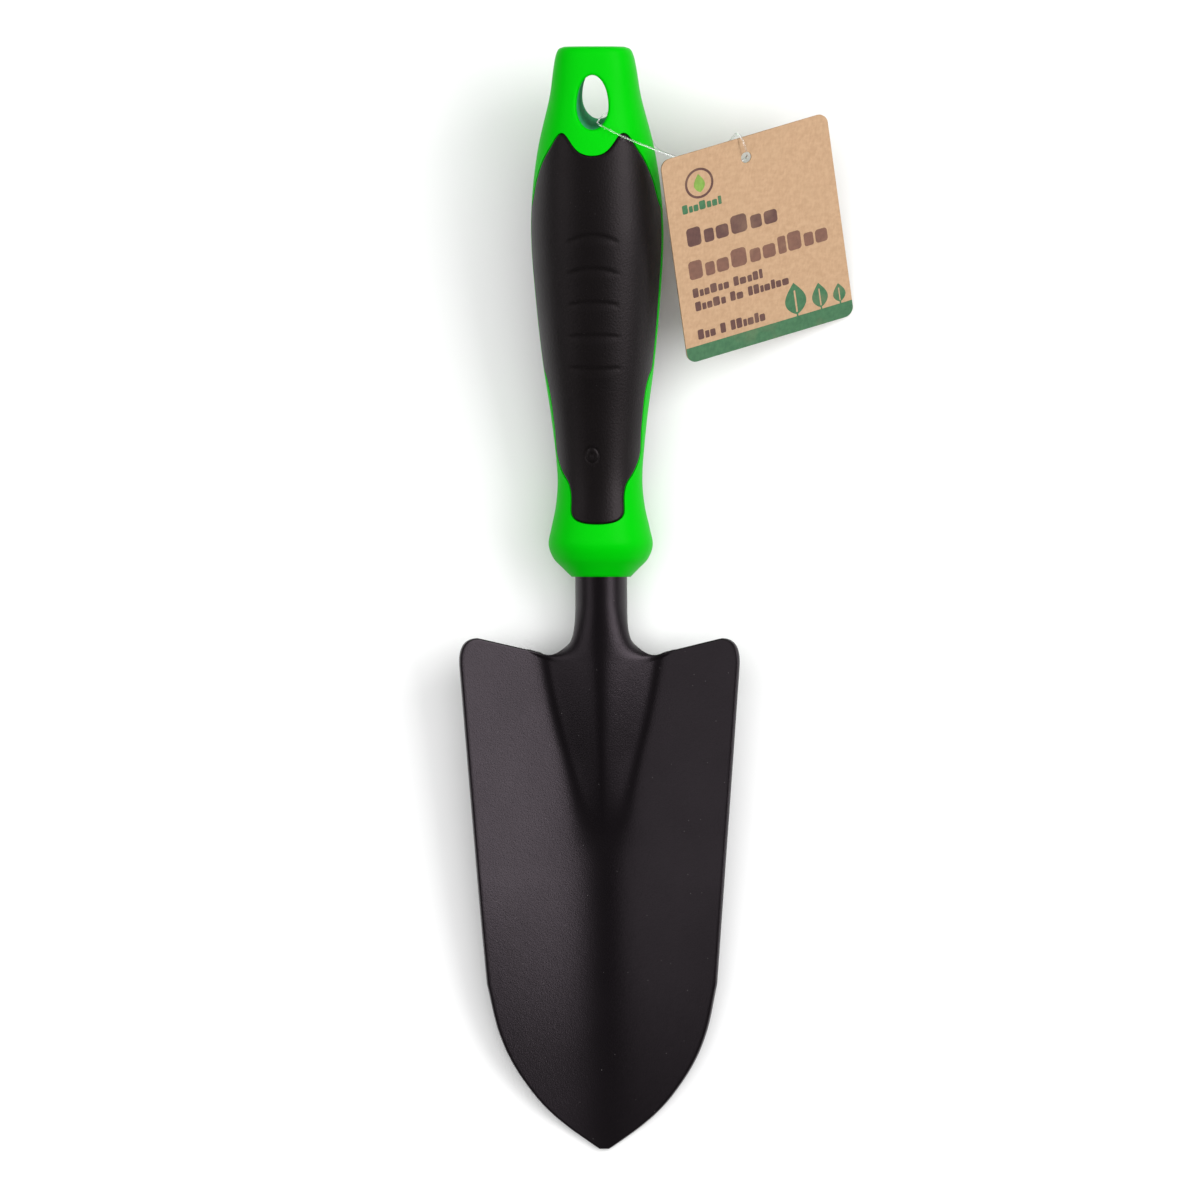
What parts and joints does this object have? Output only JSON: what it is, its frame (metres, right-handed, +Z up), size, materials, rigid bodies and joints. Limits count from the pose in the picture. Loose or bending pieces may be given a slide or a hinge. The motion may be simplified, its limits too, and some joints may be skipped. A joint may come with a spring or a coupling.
{
  "type": "hand trowel",
  "caption": "Hand trowel with a pressed black steel blade rolled into its neck, a green handle with soft black grip panels and a hanging hole, and a card hang tag on a clear loop.",
  "frame": {"origin": "centre of the trowel's own box, without tag and loop, on the surface it lies on", "axes": "+Y from the blade's tip to the butt of the handle, +Z up out of the blade's hollow, +X across the blade"},
  "size_m": [0.1083, 0.305, 0.0466],
  "materials": {
    "coated_steel": "satin black powder coat, fine grain",
    "green_plastic": "semi-gloss moulded bright green",
    "soft_grip": "matte soft-touch black",
    "clear_filament": "clear nylon",
    "tag_card": "uncoated kraft card"
  },
  "bodies": {
    "trowel": {"blade": "coated_steel", "handle_core": "green_plastic", "grip_front": "soft_grip", "grip_rear": "soft_grip", "tag_loop": "clear_filament", "loop_lock": "clear_filament"},
    "tag": {"hang_tag": "tag_card"}
  },
  "joints": [
    {"name": "tag_swing", "type": "hinge", "parent": "trowel", "child": "tag", "pos_m": [0.0416, 0.122, 0.0316], "axis": [-0.9161, 0.1382, 0.3764], "range_deg": [0, 60]}
  ]
}
